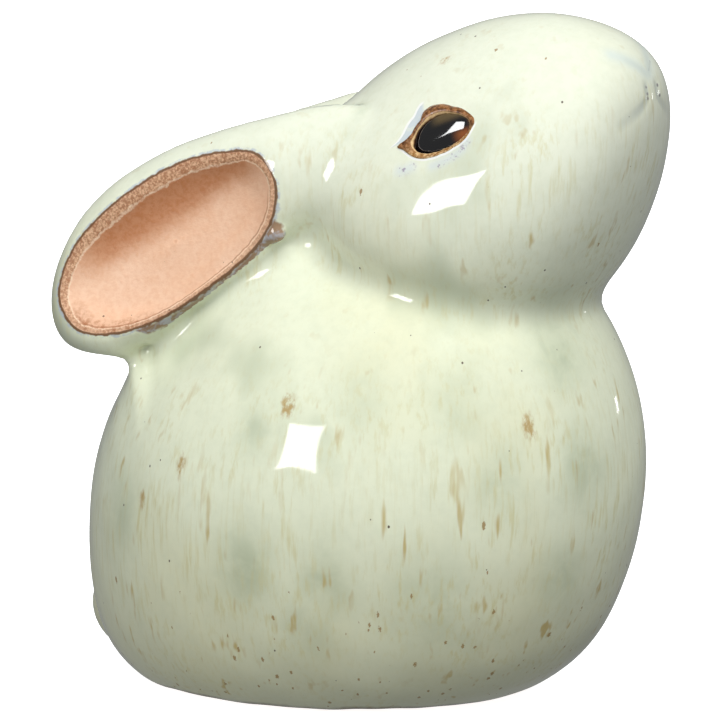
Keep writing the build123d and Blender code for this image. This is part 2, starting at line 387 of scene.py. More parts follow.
def surface(f, lo, hi, h):
    """A closed quad-grid skin of f = 0, as triangles."""
    ax = [np.arange(lo[i], hi[i] + h, h) for i in range(3)]
    grid = np.stack(np.meshgrid(*ax, indexing="ij"), -1)
    val = values(f, grid)
    shape = tuple(n - 1 for n in val.shape)
    acc = np.zeros((int(np.prod(shape)), 3))
    cnt = np.zeros(len(acc))
    quads = []
    for a in range(3):
        lo_s = [slice(None)] * 3
        hi_s = [slice(None)] * 3
        lo_s[a], hi_s[a] = slice(None, -1), slice(1, None)
        va, vb = val[tuple(lo_s)], val[tuple(hi_s)]
        idx = np.argwhere((va < 0) != (vb < 0))
        fa, fb = va[tuple(idx.T)], vb[tuple(idx.T)]
        pos = np.stack([ax[i][idx[:, i]] for i in range(3)], -1)
        pos[:, a] += h * fa / (fa - fb)
        b, c = (a + 1) % 3, (a + 2) % 3
        ids = []
        for db, dc in ((0, 0), (-1, 0), (-1, -1), (0, -1)):
            j = idx.copy()
            j[:, b] += db
            j[:, c] += dc
            k = np.ravel_multi_index(tuple(j.T), shape)
            np.add.at(acc, k, pos)
            np.add.at(cnt, k, 1)
            ids.append(k)
        q = np.stack(ids, 1)
        flip = fa > 0
        q[flip] = q[flip][:, ::-1]
        quads.append(q)
    quads = np.concatenate(quads)
    used = np.flatnonzero(cnt)
    new = np.full(len(cnt), -1)
    new[used] = np.arange(len(used))
    pts = acc[used] / cnt[used][:, None]
    q = new[quads]
    d1 = np.linalg.norm(pts[q[:, 0]] - pts[q[:, 2]], axis=1)
    d2 = np.linalg.norm(pts[q[:, 1]] - pts[q[:, 3]], axis=1)
    s = d1 <= d2
    tri = np.concatenate([q[s][:, [0, 1, 2]], q[s][:, [0, 2, 3]],
                          q[~s][:, [0, 1, 3]], q[~s][:, [1, 2, 3]]])
    return pts, tri


def edges_of(tri):
    e = np.concatenate([tri[:, [0, 1]], tri[:, [1, 2]], tri[:, [2, 0]]])
    e.sort(axis=1)
    u, inv = np.unique(e, axis=0, return_inverse=True)
    return u, inv.reshape(3, -1).T


def relax(f, p, tri, rounds, weight=0.5, hold=None):
    """Evens out the triangles along the surface."""
    e, _ = edges_of(tri)
    deg = np.bincount(e.ravel(), minlength=len(p)).astype(float)
    for _ in range(rounds):
        avg = np.zeros_like(p)
        for i in range(3):
            avg[:, i] = (np.bincount(e[:, 0], p[e[:, 1], i], len(p))
                         + np.bincount(e[:, 1], p[e[:, 0], i], len(p)))
        d = avg / np.maximum(deg, 1)[:, None] - p
        n = unit(gradient(f, p))
        d -= n * (d * n).sum(-1, keepdims=True)
        if hold is not None:
            d[hold] = 0
        p = settle(f, p + weight * d, 1)
    return p


def refine(f, p, tri, target):
    """Splits the edges that are longer than the target length asks for."""
    e, inv = edges_of(tri)
    mid = (p[e[:, 0]] + p[e[:, 1]]) / 2
    size = np.linalg.norm(p[e[:, 0]] - p[e[:, 1]], axis=1)
    mark = size > 1.4 * target(mid)
    if not mark.any():
        return p, tri
    new = np.full(len(e), -1)
    new[mark] = len(p) + np.arange(mark.sum())
    p = np.concatenate([p, settle(f, mid[mark], 2)])
    m = new[inv]                       # columns: edges 01, 12, 20
    code = (m >= 0) @ np.array((1, 2, 4))
    out = [tri[code == 0]]
    a, b, c = tri.T
    for r in range(3):
        # one marked edge, turned so that it is the first
        x, y, z = (a, b, c), (b, c, a), (c, a, b)
        t = (x, y, z)[r]
        mm = m[:, [r, (r + 1) % 3, (r + 2) % 3]]
        i = code == (1, 2, 4)[r]
        out += [np.stack([t[0][i], mm[i, 0], t[2][i]], 1),
                np.stack([mm[i, 0], t[1][i], t[2][i]], 1)]
        # two marked edges, the first and the second
        i = code == (1 + 2, 2 + 4, 4 + 1)[r]
        out += [np.stack([mm[i, 0], t[1][i], mm[i, 1]], 1),
                np.stack([t[0][i], mm[i, 0], mm[i, 1]], 1),
                np.stack([t[0][i], mm[i, 1], t[2][i]], 1)]
    i = code == 7
    out += [np.stack([a[i], m[i, 0], m[i, 2]], 1), np.stack([m[i, 0], b[i], m[i, 1]], 1),
            np.stack([m[i, 2], m[i, 1], c[i]], 1), np.stack([m[i, 0], m[i, 1], m[i, 2]], 1)]
    return p, np.concatenate(out)


def onto_line(f, g, p, rounds=4, limit=0.6):
    """Moves the points onto the line where f and g are both 0."""
    for _ in range(rounds):
        p = settle(f, p, 1)
        n = unit(gradient(f, p))
        gg = gradient(g, p)
        gg -= n * (gg * n).sum(-1, keepdims=True)
        s = g(p) / np.maximum((gg * gg).sum(-1), 1e-8)
        d = s[:, None] * gg
        size = np.linalg.norm(d, axis=1, keepdims=True)
        p = p - d * np.minimum(1, limit / np.maximum(size, 1e-9))
    return settle(f, p, 2)


def split(f, g, p, tri, label, skip=None):
    """Cuts the triangles along g = 0. label is True on the side where g is above 0."""
    val = values(g, p)
    e, inv = edges_of(tri)
    va, vb = val[e[:, 0]], val[e[:, 1]]
    cross = (va * vb) < 0
    if skip is not None:
        cross &= ~(skip(p[e[:, 0]]) | skip(p[e[:, 1]]))
    t = np.where(cross, va / np.where(cross, va - vb, 1), 0.5)
    # points close to the line are moved onto it first
    near = np.unique(np.concatenate([e[cross & (t < 0.28), 0], e[cross & (t > 0.72), 1]]))
    p = p.copy()
    p[near] = onto_line(f, g, p[near])
    val[near] = 0.0
    va, vb = val[e[:, 0]], val[e[:, 1]]
    cross = (va * vb) < 0
    if skip is not None:
        cross &= ~(skip(p[e[:, 0]]) | skip(p[e[:, 1]]))
    t = np.where(cross, va / np.where(cross, va - vb, 1), 0.5)
    new = np.full(len(e), -1)
    new[cross] = len(p) + np.arange(cross.sum())
    mid = p[e[cross, 0]] * (1 - t[cross, None]) + p[e[cross, 1]] * t[cross, None]
    p = np.concatenate([p, onto_line(f, g, mid)])
    val = np.concatenate([val, np.zeros(cross.sum())])
    m = new[inv]
    cut = (m >= 0).any(1)
    keep_t, keep_l = [tri[~cut]], []
    s = val[tri[~cut]]
    big = np.take_along_axis(s, np.abs(s).argmax(1)[:, None], 1)[:, 0]
    keep_l.append(big > 0)
    nt, nl = [], []
    for (a, b, c), (ab, bc, ca) in zip(tri[cut].tolist(), m[cut].tolist()):
        if int(ab >= 0) + int(bc >= 0) + int(ca >= 0) == 1:
            while ab < 0:
                a, b, c, ab, bc, ca = b, c, a, bc, ca, ab
            nt += [(a, ab, c), (ab, b, c)]
            nl += [val[a] > 0, val[b] > 0]
        else:
            while ab < 0 or bc < 0:
                a, b, c, ab, bc, ca = b, c, a, bc, ca, ab
            nt += [(ab, b, bc), (a, ab, bc), (a, bc, c)]
            nl += [val[b] > 0, val[a] > 0, val[a] > 0]
    if nt:
        keep_t.append(np.array(nt))
        keep_l.append(np.array(nl))
    lab = np.concatenate([label[~cut], np.repeat(label[cut], [2 if k == 1 else 3 for k in (m[cut] >= 0).sum(1)])]) \
        if nt else label[~cut]
    return p, np.concatenate(keep_t), np.concatenate(keep_l), lab


def pick(p, tri, keep):
    """The part of a mesh whose triangles are kept, and the indices of its points."""
    t = tri[keep]
    used = np.unique(t)
    new = np.full(len(p), -1)
    new[used] = np.arange(len(used))
    return used, new[t]


def loose_edges(tri):
    e = np.concatenate([tri[:, [0, 1]], tri[:, [1, 2]], tri[:, [2, 0]]])
    key = np.sort(e, axis=1)
    _, first, count = np.unique(key, axis=0, return_index=True, return_counts=True)
    return e[first[count == 1]]


def make(name, p, tri, normals, attrs=None):
    """A mesh object from points in the working frame, with its own corner normals."""
    me = bpy.data.meshes.new(name)
    me.from_pydata([tuple(v) for v in row(p)], [], [tuple(int(i) for i in t) for t in tri])
    for key, val in (attrs or {}).items():
        at = me.attributes.new(key, "FLOAT", "POINT")
        at.data.foreach_set("value", np.asarray(val, np.float32))
    me.polygons.foreach_set("use_smooth", np.ones(len(me.polygons), bool))
    if normals is not None:
        me.normals_split_custom_set([tuple(n) for n in normals])
    me.update()
    ob = bpy.data.objects.new(name, me)
    bpy.context.scene.collection.objects.link(ob)
    return ob


def shell(name, p, tri, n, thick, attrs):
    """A closed skin: the outside, an inside that is offset from it, and the edges."""
    count = len(p)
    inner = p - n * np.asarray(thick, float).reshape(-1, 1)
    edge = loose_edges(tri)
    a, b = edge.T
    walls = np.concatenate([np.stack([b, a, a + count], 1), np.stack([b, a + count, b + count], 1)])
    allp = np.concatenate([p, inner])
    allt = np.concatenate([tri, tri[:, ::-1] + count, walls])
    corner = np.concatenate([n[tri].reshape(-1, 3), -n[tri[:, ::-1]].reshape(-1, 3)])
    w = allp[walls]
    wn = unit(np.cross(w[:, 1] - w[:, 0], w[:, 2] - w[:, 0]))
    corner = np.concatenate([corner, np.repeat(wn, 3, axis=0)])
    both = {k: np.concatenate([v, v]) for k, v in attrs.items()}
    return make(name, allp, allt, corner, both)


# ------------------------------------------------------------------ the skin
def skin_target(p):
    """Wanted edge length of the skin, in mm."""
    t = np.full(len(p), 1.7)
    k, side, n = opening(p)
    on = (n > -7) & (n < 5)
    d = np.abs(k - 1.0) * 13.4
    t = np.where(on & (d < 2.5), 0.62, t)
    t = np.where(on & (k < 1), np.minimum(t, 0.95), t)
    kk = eye_ratio(p)
    t = np.where(kk < 1.9, np.minimum(t, 0.75), t)
    t = np.where((kk > 0.85) & (kk < 1.15), 0.45, t)
    face = (p[:, 0] > 56) & (p[:, 2] > 121) & (p[:, 2] < 144)
    t = np.where(face, np.minimum(t, 0.8), t)
    near = np.zeros(len(p), bool)
    i = np.flatnonzero(face)
    if len(i):
        q = face_fold(p[i])
        near[i] = np.minimum(along(q, NOSTRIL)[0], along(q, MOUTH)[0]) < 2.2
    t = np.where(near, 0.42, t)
    return np.where(p[:, 2] < BASE_Z + 3.2, np.minimum(t, 0.9), t)


pts, tri = surface(form, (-70, -56, -2), (74, 56, 153), 1.75)
pts = settle(form, pts, 4)
pts = relax(form, pts, tri, 6)
for _ in range(3):
    pts, tri = refine(form, pts, tri, skin_target)
    pts = relax(form, pts, tri, 3)
pts = settle(form, pts, 3)
print("skin", len(pts), len(tri))


def on_bowl(p):
    """True where a point can't be on the bowl side of an ear."""
    k, side, n = opening(p)
    return (n < -7) | (n > 4) | (k > 1.5)


EDGE_K = 0.985


def g_bowl(p):
    k, side, n = opening(p)
    return (k - EDGE_K) * 13.0


def g_eye(p):
    return (eye_ratio(p) - 0.985) * 5.0


def not_eye(p):
    return eye_ratio(p) > 3


def g_foot(p):
    x, y, z = p[..., 0], p[..., 1], p[..., 2]
    a = np.arctan2(y, x - 4.0)
    line = 1.35 + 0.22 * np.sin(5 * a + 0.7) + 0.16 * np.sin(11 * a + 2.1) + 0.10 * np.sin(23 * a)
    return z - BASE_Z - line


whole = np.ones(len(tri), bool)
pts, tri, side, _ = split(form, g_bowl, pts, tri, whole, on_bowl)
k_c, s_c, n_c = opening(pts[tri].mean(1))
bowl = ~side & (n_c > -7) & (n_c < 4) & (k_c < 1)
pts, tri, side, bowl = split(form, g_eye, pts, tri, bowl, not_eye)
eye_hole = ~side & (eye_ratio(pts[tri].mean(1)) < 1.2)
pts, tri, side, tag = split(form, g_foot, pts, tri, bowl * 1 + eye_hole * 2)
bowl, eye_hole, foot = tag == 1, tag == 2, ~side

GLAZE_T = 0.6


# markings that sit at certain places: soft clouds, rust runs and dots on the face
CLOUDS = ((19.6, -43.0, 71.7, 6.0, 0.4), (38.5, -35.5, 70.4, 7.0, 0.5), (-3.2, -50.0, 35.4, 7.0, 1.0),
          (33.7, -39.5, 28.3, 9.0, 0.8), (52.0, -15.2, 79.8, 7.0, 1.0), (58.3, -16.6, 55.5, 7.0, 0.8),
          (54.1, -19.7, 32.7, 6.0, 0.8), (-37.9, -38.7, 43.5, 7.0, 0.7), (46.5, -33.2, 55.1, 6.0, 0.6),
          (14.2, -48.5, 33.9, 6.5, 0.8), (-2.4, -47.0, 64.3, 4.5, 0.7), (9.3, -46.5, 23.5, 6.0, 0.7))
RUSTS = ((26.2, -15.9, 138.6, 1.2), (4.6, -45.7, 69.6, 1.6), (-19.8, -45.9, 55.5, 1.2),
         (50.2, -27.0, 65.2, 1.5), (-30.6, -42.7, 46.8, 0.9))
FACE_DOTS = ((65.75, -3.87, 133.52), (66.06, -3.8, 132.19), (66.21, -3.86, 131.27),
             (66.21, 1.54, 133.56), (66.55, 2.11, 131.46))
FACE_LINE = np.array(((64.0, 2.25, 138.15), (64.89, -0.73, 136.6)))
SMEAR_A = np.array(((-3.06, -6.92), (-1.23, -6.88), (1.56, -6.49), (3.95, -5.72), (5.36, -4.16)))
SMEAR_B = np.array(((-10.42, -5.36), (-9.06, -5.65), (-7.62, -5.51)))
UNDER_X = (-1.15, -0.95, -0.8, -0.65, -0.5, -0.3, -0.1, 0.05, 0.2, 0.32, 0.42, 0.50)
UNDER_W = (0.0, 1.6, 2.6, 2.0, 1.2, 0.8, 0.8, 0.9, 1.1, 1.4, 1.5, 0.0)


def surface_attrs(p, outside=False):
    k, sd, n = opening(p)
    dk = np.linalg.norm(gradient(lambda q: opening(q)[0], p, 0.05), axis=1)
    on = (n > -9) & (n < 5)
    lip = np.where(on, np.clip((k - 1.0) / np.maximum(dk, 1e-3), -20, 20), 20)
    if outside:  # the ear's back is no part of the bowl's edge
        lip = np.where(lip < -0.9, 20, np.clip(lip + 24 * step(-n, 3.2, 4.8), -20, 20))
    es, et, en = ear_stn(p)
    ox = (es - 8.039) / 32.135
    oy = (et - open_axis(ox)[0]) / open_axis(ox)[1]
    wide = np.interp(ox, UNDER_X, UNDER_W) * step(-oy, 0.50, 0.70)
    wide = np.where(wide > 0.05, wide, -2.0)
    under = np.where(on, wide - np.clip(lip, -5, 20) - 5 * step(-n, 3.5, 6.0), -5)
    lump = np.linalg.norm(right_side(p) - LUMP, axis=1)
    under = np.maximum(under, 2.7 - lump)
    ft, fe = torso(p), ear_part(p)
    crease = np.exp(-((np.maximum(np.abs(ft), np.abs(fe))) / 1.6) ** 2)
    fb, fh = body_part(p), head_part(p)
    neck = np.exp(-((np.maximum(np.abs(fb), np.abs(fh))) / 3.0) ** 2)
    u, v, w = eye_uv(p)
    du, dv = u - EYE_O[0], v - EYE_O[1]
    here = np.abs(w) < 6
    eye_d = np.where(here, np.clip(np.hypot(du, dv) - rim_r(np.arctan2(dv, du)), -5, 12), 12)
    uv = np.stack([u, v], -1)
    smear = np.where(here, np.maximum(np.exp(-(along(uv, SMEAR_A)[0] / 1.0) ** 2),
                                      np.exp(-(along(uv, SMEAR_B)[0] / 1.2) ** 2)), 0)
    cloud = np.zeros(len(p))
    for x, y, z, r, much in CLOUDS:
        d = np.linalg.norm((p - (x, y, z)) * (1, 1, 0.75), axis=1)
        cloud = np.maximum(cloud, much * np.exp(-(d / r) ** 2))
    rust = np.zeros(len(p))
    for x, y, z, r in RUSTS:
        d = np.linalg.norm((p - (x, y, z)) * (1, 1, 0.4), axis=1)
        rust = np.maximum(rust, np.exp(-(d / r) ** 2))
    q = face_fold(p)
    dots = np.zeros(len(p))
    for c in FACE_DOTS:
        dots = np.maximum(dots, np.exp(-(np.linalg.norm(p - c, axis=1) / 0.5) ** 2))
    dots = np.maximum(dots, 0.8 * np.exp(-(along(p, FACE_LINE)[0] / 0.55) ** 2))
    nostril = np.exp(-(along(q, NOSTRIL)[0] / 1.9) ** 2)
    bevel = np.where(on, lip / bevel_mm(sd), 5)
    # the ear tip's outer part, where shade is painted
    tip = step(ox, 0.72, 1.15) * (1 - step((k - 1.0) / np.maximum(dk, 1e-3), 5, 9)) * step(n, -9, -3)
    return {"lip": lip, "bevel": bevel, "bowl_x": np.where(on, ox, 9), "bowl_y": np.where(on, oy, 9),
            "under": under, "ear_tip": tip, "ear_crease": crease, "neck_crease": neck, "eye_d": eye_d,
            "eye_u": np.where(here, u, 30), "eye_v": np.where(here, v, 30), "eye_smear": smear,
            "cloud": cloud, "rust": rust, "face_dots": dots, "nostril": nostril,
            "groove": grooves(p) / 0.20, "foot": np.clip(g_foot(p), 0, 30)}


used, t_glaze = pick(pts, tri, ~(bowl | eye_hole | foot))
p_glaze = pts[used]
n_glaze = unit(gradient(form, p_glaze))
glaze_coat = shell("glaze_coat", p_glaze, t_glaze, n_glaze,
                   np.full(len(p_glaze), GLAZE_T),
                   dict(surface_attrs(p_glaze, True), tilt=n_glaze[:, 2]))
print("glaze", len(p_glaze), len(t_glaze))

panels = {}
for name, sign in (("right_inner_ear_slip", -1), ("left_inner_ear_slip", 1)):
    used, t = pick(pts, tri, bowl & (np.sign(pts[tri][:, :, 1].mean(1)) == sign))
    p = pts[used]
    panels[name] = shell(name, p, t, unit(gradient(form, p)), np.full(len(p), 0.8),
                         surface_attrs(p))
    print(name, len(p), len(t))


# ------------------------------------------------------------------ eyes
def head_height(u, v):
    """Height of the skin over the eye's plane."""
    w = np.zeros_like(u)
    for _ in range(12):
        p = EYE_C + u[:, None] * EYE_A + v[:, None] * EYE_B + w[:, None] * EYE_N
        w = w - smooth_form(p) - wobble(p)
    return w


def eye_point(u, v, w):
    return EYE_C + u[..., None] * EYE_A + v[..., None] * EYE_B + w[..., None] * EYE_N


def closed_rings(rings):
    """Triangles between rings of points that close on themselves, first to last to first."""
    m, n = len(rings), len(rings[0])
    out = []
    for i in range(m):
        for j in range(n):
            a, b = i * n + j, i * n + (j + 1) % n
            c, d = ((i + 1) % m) * n + j, ((i + 1) % m) * n + (j + 1) % n
            out += [(a, b, d), (a, d, c)]
    return np.array(out)


def eye_rim(name, sign):
    n = 160
    th = np.linspace(0, 2 * math.pi, n, endpoint=False)
    ro, ri = rim_r(th), ball_r(th)
    rings, ks = [], []
    profile = ((1.0, -1.3), (1.0, -0.15), (0.985, 0.12), (0.93, 0.28), (0.8, 0.42), (0.62, 0.50),
               (0.42, 0.50), (0.24, 0.40), (0.1, 0.16), (0.02, -0.2), (-0.03, -0.6), (-0.03, -1.3))
    for f, h in profile:
        r = ri + (ro - ri) * f
        band = np.clip((ro - ri) / 2.0, 0.55, 1.15)
        u, v = EYE_O[0] + r * np.cos(th), EYE_O[1] + r * np.sin(th)
        lean = 0.16 * v * (1 - step(np.full(n, f), 0.3, 1.0))
        w = head_height(u, v) + (h * band if h > 0 else h) + lean
        rings.append(eye_point(u, v, w))
        ks.append(np.full(n, f))
    p = np.concatenate(rings)
    t = closed_rings(rings)
    up = np.tile(np.sin(th), len(rings))
    if sign > 0:
        p = p * np.array((1, -1, 1))
        t = t[:, ::-1]
    return make(name, p, t, None, {"rim_k": np.concatenate(ks), "rim_up": up})


def eye_ball(name, sign):
    n, m = 96, 16
    th = np.linspace(0, 2 * math.pi, n, endpoint=False)
    ri = ball_r(th) + 0.12
    p, t = [], []
    w0 = float(head_height(np.array([EYE_O[0]]), np.array([EYE_O[1]]))[0])
    rr, uu, vv = [], [], []
    for i in range(m):
        f = 1 - i / m
        u, v = EYE_O[0] + ri * f * np.cos(th), EYE_O[1] + ri * f * np.sin(th)
        edge = head_height(u, v)
        w = edge - 0.75 + 0.7 * math.sqrt(max(1 - f ** 3, 0)) + 0.085 * u + 0.36 * v
        w = w - 0.0156 * (v - EYE_O[1]) ** 2 + 0.0045 * (u - EYE_O[0]) ** 2
        p.append(eye_point(u, v, w))
        rr.append(np.full(n, f))
        uu.append(u)
        vv.append(v)
    p = np.concatenate(p)
    top = eye_point(np.array([EYE_O[0]]), np.array([EYE_O[1]]), np.array([w0 - 0.05 + 0.085 * EYE_O[0] + 0.36 * EYE_O[1]]))
    u, v = EYE_O[0] + ri * np.cos(th), EYE_O[1] + ri * np.sin(th)
    low = eye_point(u, v, head_height(u, v) - 2.0 + 0.085 * u + 0.36 * v)
    back = eye_point(np.array([EYE_O[0]]), np.array([EYE_O[1]]), np.array([w0 - 2.0]))
    for i in range(m - 1):
        for j in range(n):
            a, b = i * n + j, i * n + (j + 1) % n
            t += [(a, b, b + n), (a, b + n, a + n)]
    c = m * n
    last = (m - 1) * n
    t += [(last + j, last + (j + 1) % n, c) for j in range(n)]
    lo = c + 1
    for j in range(n):
        a, b = lo + j, lo + (j + 1) % n
        t += [(a, b, (j + 1) % n), (a, (j + 1) % n, j), (b, a, lo + n)]
    p = np.concatenate([p, top, low, back])
    r = np.concatenate(rr + [np.zeros(1), np.ones(n), np.zeros(1)])
    t = np.array(t)
    if sign > 0:
        p = p * np.array((1, -1, 1))
        t = t[:, ::-1]
    flat = [np.zeros(1), np.zeros(n), np.zeros(1)]
    return make(name, p, t, None, {"ball_r": r, "ball_u": np.concatenate(uu + flat),
                                   "ball_v": np.concatenate(vv + flat)})


rims = {"right_eye_lid": eye_rim("right_eye_lid", -1), "left_eye_lid": eye_rim("left_eye_lid", 1)}
balls = {"right_eyeball": eye_ball("right_eyeball", -1), "left_eyeball": eye_ball("left_eyeball", 1)}


# ------------------------------------------------------------------ materials
class Nodes:
    """A short way to write node trees."""

    def __init__(self, name):
        self.mat = bpy.data.materials.new(name)
        self.mat.use_nodes = True
        self.t = self.mat.node_tree
        self.t.nodes.clear()
        self.out = self.t.nodes.new("ShaderNodeOutputMaterial")
        self.bsdf = self.t.nodes.new("ShaderNodeBsdfPrincipled")
        self.t.links.new(self.bsdf.outputs[0], self.out.inputs[0])
        co = self.t.nodes.new("ShaderNodeTexCoord")
        self.co = co.outputs["Object"]

    def put(self, sock, val):
        if hasattr(val, "links"):
            self.t.links.new(val, sock)
        elif isinstance(val, tuple) and len(val) == 3 and len(sock.default_value) == 4:
            sock.default_value = val + (1,)
        else:
            sock.default_value = val

    def node(self, kind, ins=None, **props):
        n = self.t.nodes.new(kind)
        for k, v in props.items():
            setattr(n, k, v)
        for k, v in (ins or {}).items():
            self.put(n.inputs[k], v)
        return n

    def attr(self, name):
        return self.node("ShaderNodeAttribute", attribute_name=name).outputs["Fac"]

    def math(self, op, a, b=0.0, c=None, clamp=False):
        ins = {0: a, 1: b}
        if c is not None:
            ins[2] = c
        return self.node("ShaderNodeMath", ins, operation=op, use_clamp=clamp).outputs[0]

    def scale(self, x=1.0, y=1.0, z=1.0, shift=(0, 0, 0)):
        return self.node("ShaderNodeMapping", {"Vector": self.co, "Scale": (x, y, z), "Location": shift}).outputs[0]

    def noise(self, scale, detail=2.0, rough=0.5, vec=None, distort=0.0):
        n = self.node("ShaderNodeTexNoise", {"Vector": vec or self.co, "Scale": scale, "Detail": detail,
                                             "Roughness": rough, "Distortion": distort})
        return n.outputs["Fac"]

    def range(self, v, a, b, lo=0.0, hi=1.0, smooth=True):
        n = self.node("ShaderNodeMapRange", {"Value": v, "From Min": a, "From Max": b, "To Min": lo, "To Max": hi},
                      interpolation_type="SMOOTHSTEP" if smooth else "LINEAR")
        return n.outputs[0]

    def mix(self, fac, a, b, blend="MIX"):
        n = self.t.nodes.new("ShaderNodeMix")
        n.data_type = "RGBA"
        n.blend_type = blend
        n.clamp_factor = True
        self.put(n.inputs["Factor"], fac)
        for s, v in ((n.inputs[6], a), (n.inputs[7], b)):
            self.put(s, v)
        return n.outputs[2]

    def specks(self, cell_mm, share, rmin, rmax, seed=0.0, tall=1.0, rag=0.0):
        """Specks: cell size and radii in mm, the share of cells that have one, and how tall they are."""
        v = self.node("ShaderNodeTexVoronoi", {"Vector": self.scale(1, 1, 1 / tall, (seed, seed * 0.7, seed * 1.3)),
                                               "Scale": 1000.0 / cell_mm}, feature="F1")
        sep = self.node("ShaderNodeSeparateColor", {0: v.outputs["Color"]})
        on = self.math("LESS_THAN", sep.outputs[0], share)
        rad = self.range(sep.outputs[1], 0, 1, rmin / cell_mm, rmax / cell_mm, smooth=False)
        ratio = self.math("DIVIDE", v.outputs["Distance"], rad)
        ratio = self.math("ADD", ratio, self.math("MULTIPLY", self.math("SUBTRACT", self.noise(2600, 2, 0.6), 0.5), rag))
        return self.math("MULTIPLY", on, self.range(ratio, 0.75, 1.1, 1.0, 0.0))

    def bump(self, height, strength, distance, normal=None):
        n = self.node("ShaderNodeBump", {"Height": height, "Strength": strength, "Distance": distance})
        if normal is not None:
            self.t.links.new(normal, n.inputs["Normal"])
        return n.outputs[0]

    def set(self, **ins):
        for k, v in ins.items():
            self.put(self.bsdf.inputs[k.replace("_", " ")], v)


def srgb(r, g, b):
    def lin(c):
        c /= 255.0
        return c / 12.92 if c <= 0.04045 else ((c + 0.055) / 1.055) ** 2.4
    return (lin(r), lin(g), lin(b))


